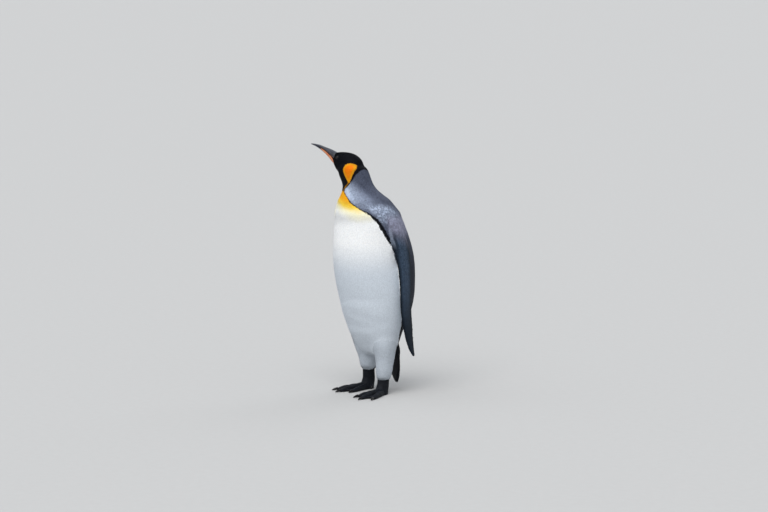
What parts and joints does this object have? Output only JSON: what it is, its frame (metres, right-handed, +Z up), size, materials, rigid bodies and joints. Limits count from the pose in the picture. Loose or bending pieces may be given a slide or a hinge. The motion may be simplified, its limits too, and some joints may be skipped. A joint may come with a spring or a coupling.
{
  "type": "king penguin",
  "caption": "Life-size still model of a standing king penguin, bill raised and head turned over the right shoulder, flippers hanging at the sides.",
  "frame": {"origin": "on the floor, under the middle of the whole bird's box", "axes": "+Z up; the bird's breast faces -Y and its left side is +X; the turned bill points to -X"},
  "size_m": [0.382, 0.305, 0.8328],
  "materials": {
    "white_plumage": "dense matt plumage, white with a faint blue-grey cast low on the belly",
    "grey_plumage": "matt plumage, silvery blue-grey",
    "black_plumage": "short matt plumage, black with a slight blue sheen",
    "wing_plumage": "stiff scale-like plumage, dark slate",
    "tail_plumage": "stiff narrow feathers, brown-black",
    "bill_horn": "smooth horn, satin",
    "bill_plate": "smooth horn, satin, orange-pink",
    "eye": "wet gloss",
    "foot_skin": "scaly skin, near black",
    "claw_horn": "horn, satin"
  },
  "bodies": {
    "root": {"trunk": "white_plumage", "neck": "grey_plumage", "head": "black_plumage", "eye_left": "eye", "eye_right": "eye", "bill_upper": "bill_horn", "bill_lower": "bill_horn", "bill_plate_left": "bill_plate", "bill_plate_right": "bill_plate", "wing_left": "wing_plumage", "wing_right": "wing_plumage", "leg_left": "white_plumage", "leg_right": "white_plumage", "tail": "tail_plumage", "foot_left": "foot_skin", "foot_right": "foot_skin", "claw_left_inner": "claw_horn", "claw_left_middle": "claw_horn", "claw_left_outer": "claw_horn", "claw_left_hind": "claw_horn", "claw_right_inner": "claw_horn", "claw_right_middle": "claw_horn", "claw_right_outer": "claw_horn", "claw_right_hind": "claw_horn"}
  },
  "joints": []
}
